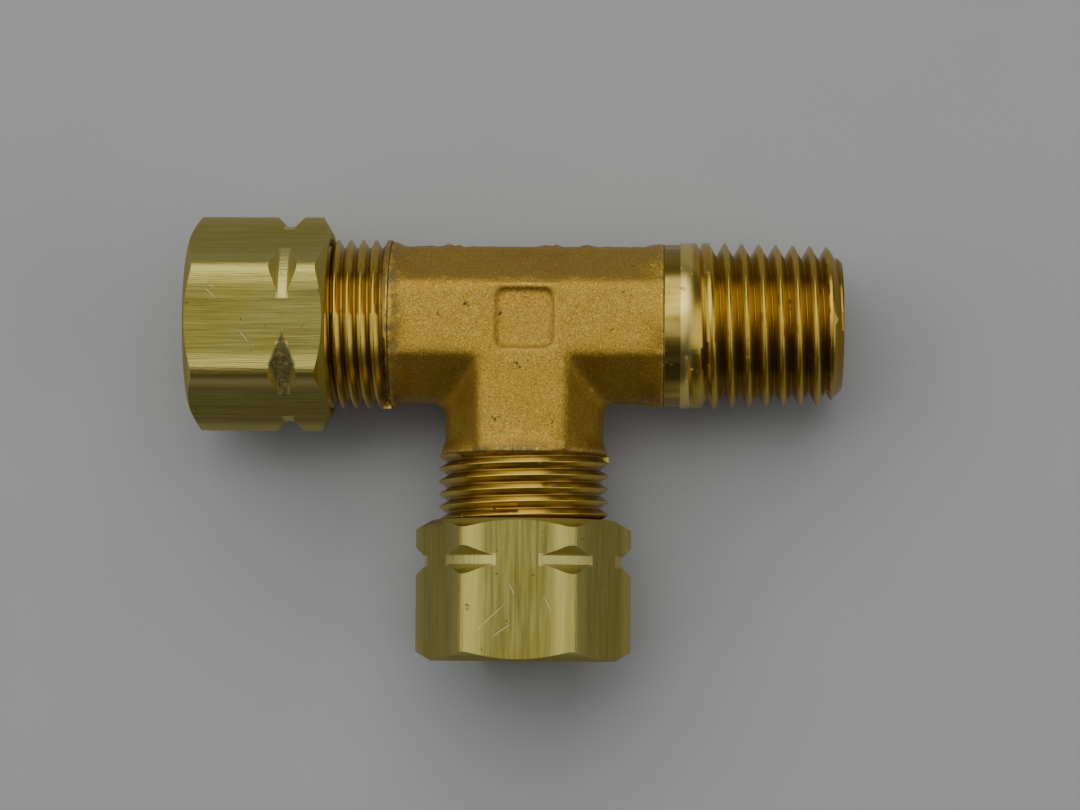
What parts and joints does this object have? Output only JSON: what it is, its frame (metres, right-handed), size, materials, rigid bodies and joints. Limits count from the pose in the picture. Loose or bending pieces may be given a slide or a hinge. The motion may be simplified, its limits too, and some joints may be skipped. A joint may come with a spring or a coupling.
{
  "type": "compression tee fitting",
  "caption": "Brass male run tee: compression ports with hexagon nuts and sleeves on one run end and the branch, tapered pipe thread on the other run end.",
  "frame": {"origin": "the point where the run's axis and the branch's axis cross, in the middle of the tee's waterway", "axes": "+X along the run towards the male pipe thread's end, so the run's compression port points to -X; -Y along the branch towards its compression port; +Z out of the forged flat that carries the shallow square recess, which is the shortest way through the part"},
  "size_m": [0.0541, 0.0369, 0.0162],
  "materials": {
    "forged_brass": "forged brass, sand-textured and tarnished, with bright turned threads",
    "nut_brass": "drawn hexagon bar, satin with lengthwise streaks and dulled edges",
    "sleeve_brass": "turned brass, fairly bright"
  },
  "bodies": {
    "tee_body": {"tee_body": "forged_brass"},
    "run_sleeve": {"run_sleeve": "sleeve_brass"},
    "run_nut": {"run_nut": "nut_brass"},
    "branch_sleeve": {"branch_sleeve": "sleeve_brass"},
    "branch_nut": {"branch_nut": "nut_brass"}
  },
  "joints": [
    {"name": "run_sleeve_slide", "type": "slide", "parent": "tee_body", "child": "run_sleeve", "axis": [-1, 0, 0], "range_m": [-0.00084, 0.0045]},
    {"name": "run_nut_turn", "type": "hinge", "parent": "run_sleeve", "child": "run_nut", "pos_m": [-0.0219, 0, 0], "axis": [-1, 0, 0], "range_deg": [-285, 1530]},
    {"name": "branch_sleeve_slide", "type": "slide", "parent": "tee_body", "child": "branch_sleeve", "axis": [0, -1, 0], "range_m": [-0.00119, 0.00423]},
    {"name": "branch_nut_turn", "type": "hinge", "parent": "branch_sleeve", "child": "branch_nut", "pos_m": [0, -0.0222, 0], "axis": [0, -1, 0], "range_deg": [-405, 1440]}
  ],
  "couplings": [
    {"joint": "run_sleeve_slide", "follows": "run_nut_turn", "m_per_rad": 0.00016844},
    {"joint": "branch_sleeve_slide", "follows": "branch_nut_turn", "m_per_rad": 0.00016844}
  ]
}
